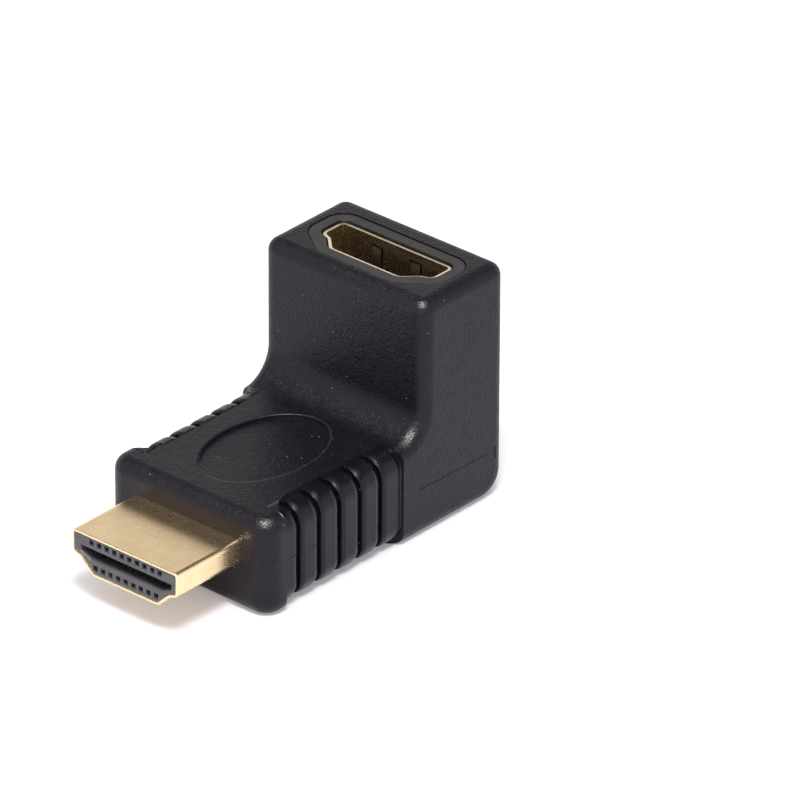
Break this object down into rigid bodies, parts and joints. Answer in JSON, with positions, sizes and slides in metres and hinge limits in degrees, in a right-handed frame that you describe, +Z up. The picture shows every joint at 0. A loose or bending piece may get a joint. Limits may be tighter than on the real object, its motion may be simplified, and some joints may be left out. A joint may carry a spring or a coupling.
{
  "type": "right angle video adapter",
  "caption": "L-shaped moulded black adapter with a gold plated flat video plug at one end and a matching socket opening upwards at the other.",
  "frame": {"origin": "bottom centre of the whole adapter's box, on the surface it lies on", "axes": "+X across the body to its right flank, +Y from the plug to the back, +Z up, the way the socket opens"},
  "size_m": [0.0212, 0.0442, 0.0258],
  "materials": {
    "jacket": "fine moulded grain, semi-gloss, black",
    "inner_mould": "satin black",
    "gold_plate": "pale gold flash over steel, satin",
    "insulator": "dark grey moulded, matt",
    "contact": "gold plated, bright",
    "board": "green lacquered board"
  },
  "bodies": {
    "root": {"jacket": "jacket", "inner_mould": "inner_mould", "plug_shell": "gold_plate", "plug_insulator": "insulator", "circuit_board": "board", "socket_shell": "gold_plate", "socket_housing": "insulator", "plug_contact_01": "contact", "plug_contact_02": "contact", "plug_contact_03": "contact", "plug_contact_04": "contact", "plug_contact_05": "contact", "plug_contact_06": "contact", "plug_contact_07": "contact", "plug_contact_08": "contact", "plug_contact_09": "contact", "plug_contact_10": "contact", "plug_contact_11": "contact", "plug_contact_12": "contact", "plug_contact_13": "contact", "plug_contact_14": "contact", "plug_contact_15": "contact", "plug_contact_16": "contact", "plug_contact_17": "contact", "plug_contact_18": "contact", "plug_contact_19": "contact", "socket_contact_01": "contact", "socket_contact_02": "contact", "socket_contact_03": "contact", "socket_contact_04": "contact", "socket_contact_05": "contact", "socket_contact_06": "contact", "socket_contact_07": "contact", "socket_contact_08": "contact", "socket_contact_09": "contact", "socket_contact_10": "contact", "socket_contact_11": "contact", "socket_contact_12": "contact", "socket_contact_13": "contact", "socket_contact_14": "contact", "socket_contact_15": "contact", "socket_contact_16": "contact", "socket_contact_17": "contact", "socket_contact_18": "contact", "socket_contact_19": "contact"}
  },
  "joints": []
}
